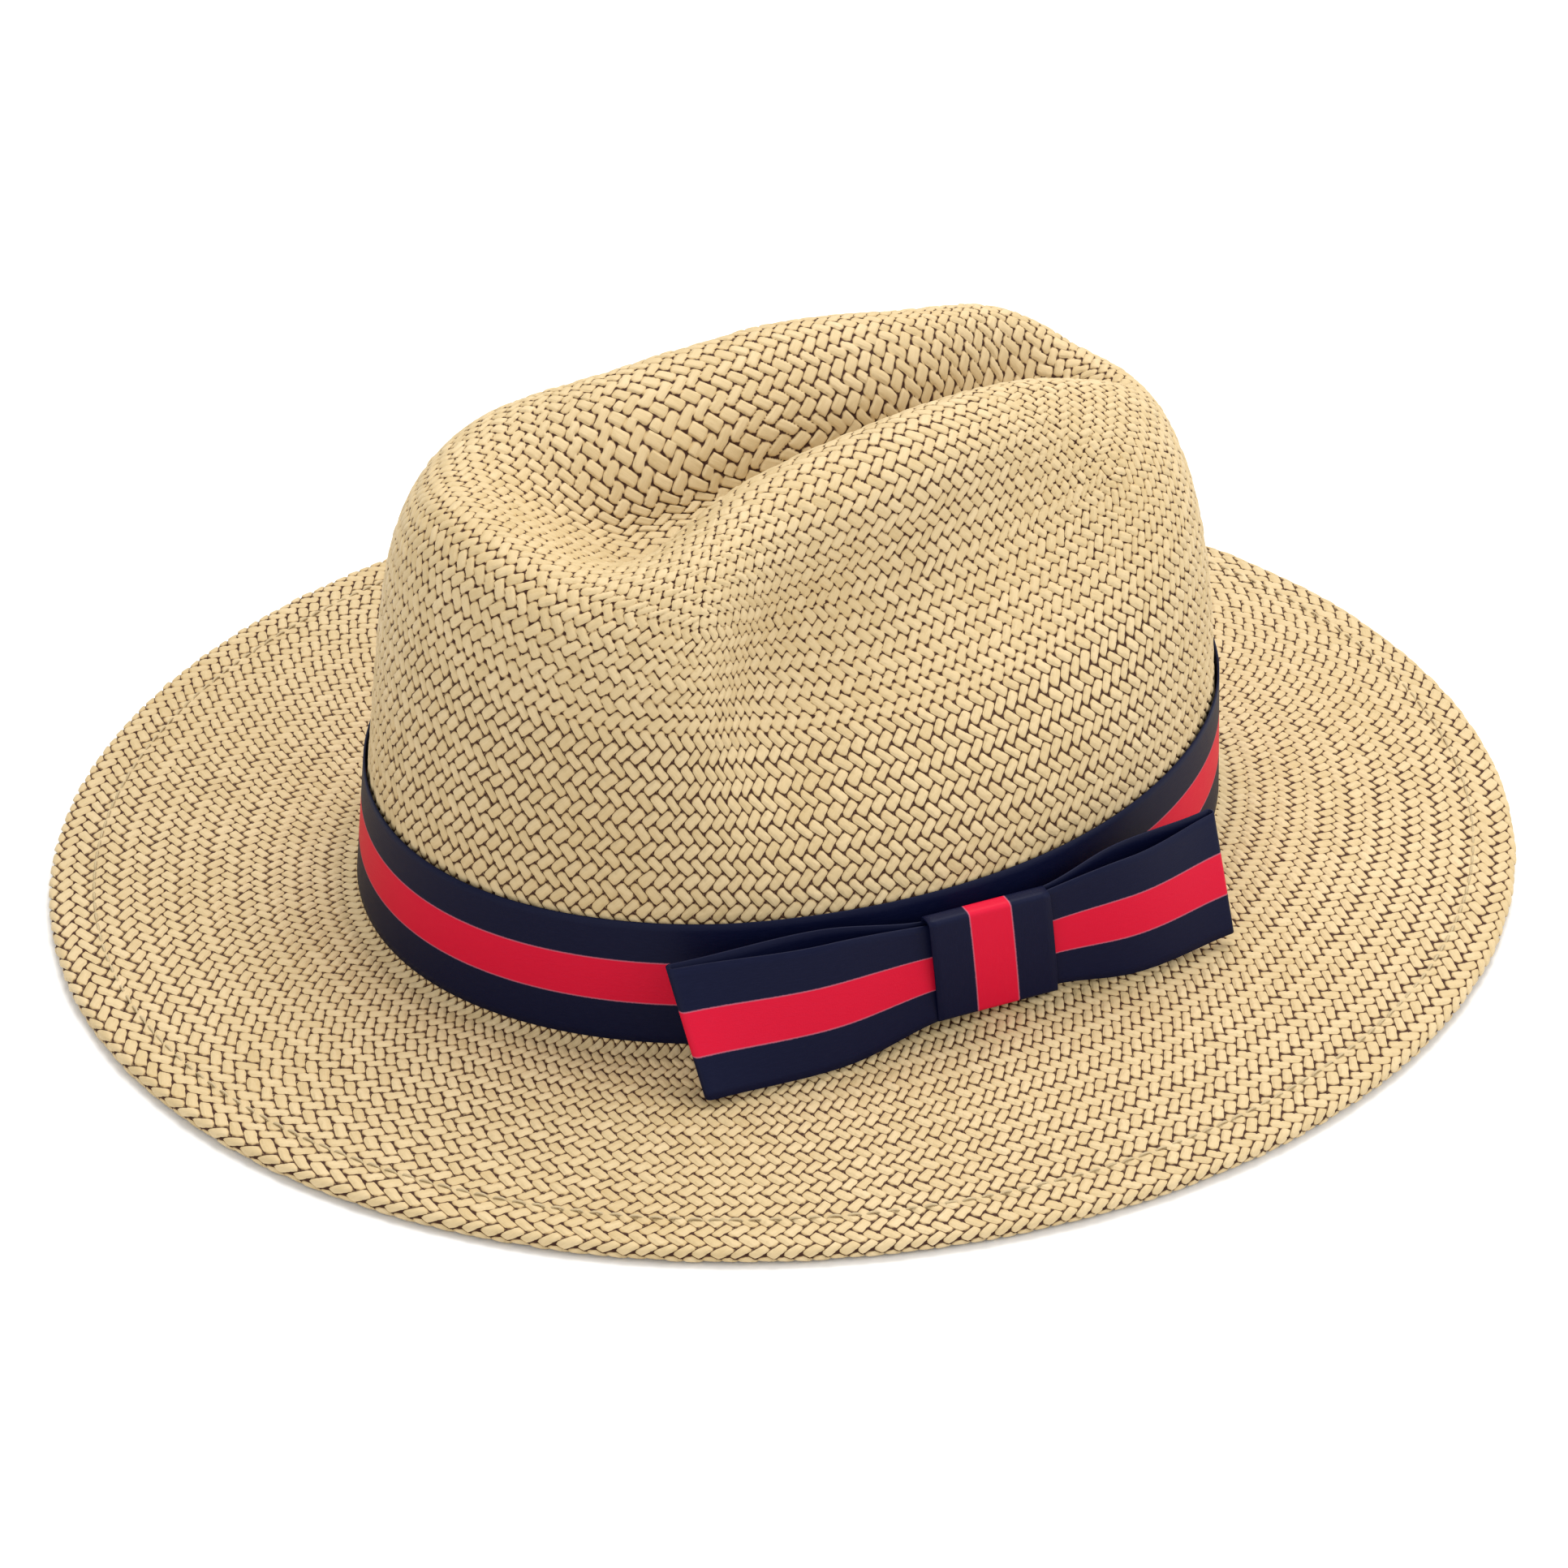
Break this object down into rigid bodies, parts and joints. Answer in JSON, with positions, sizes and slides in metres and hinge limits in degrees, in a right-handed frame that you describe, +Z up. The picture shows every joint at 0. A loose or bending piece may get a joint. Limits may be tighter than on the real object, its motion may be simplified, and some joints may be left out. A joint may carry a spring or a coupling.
{
  "type": "fedora hat",
  "caption": "Wide-brimmed plaited straw fedora with a creased, pinched crown and a striped ribbon band tied off in a flat bow.",
  "frame": {"origin": "centre of the hat's outline on the plane that its brim rests on", "axes": "+Z up through the crown, -Y towards the front of the hat, +X towards the wearer's left, the side of the bow"},
  "size_m": [0.3041, 0.34, 0.1195],
  "materials": {
    "straw": "flat plaited paper straw, faint sheen",
    "wire": "bare spring wire",
    "straw_thread": "matte sewing thread",
    "ribbon": "satin, navy with one red stripe",
    "sweatband_cloth": "ribbed cotton",
    "tag_cloth": "blank woven tag"
  },
  "bodies": {
    "root": {"straw_body": "straw", "brim_wire": "wire", "hem_stitching": "straw_thread", "hat_band": "ribbon", "bow_loops": "ribbon", "bow_keeper": "ribbon", "sweatband": "sweatband_cloth", "sweatband_stitching": "straw_thread", "size_tag": "tag_cloth"}
  },
  "joints": []
}
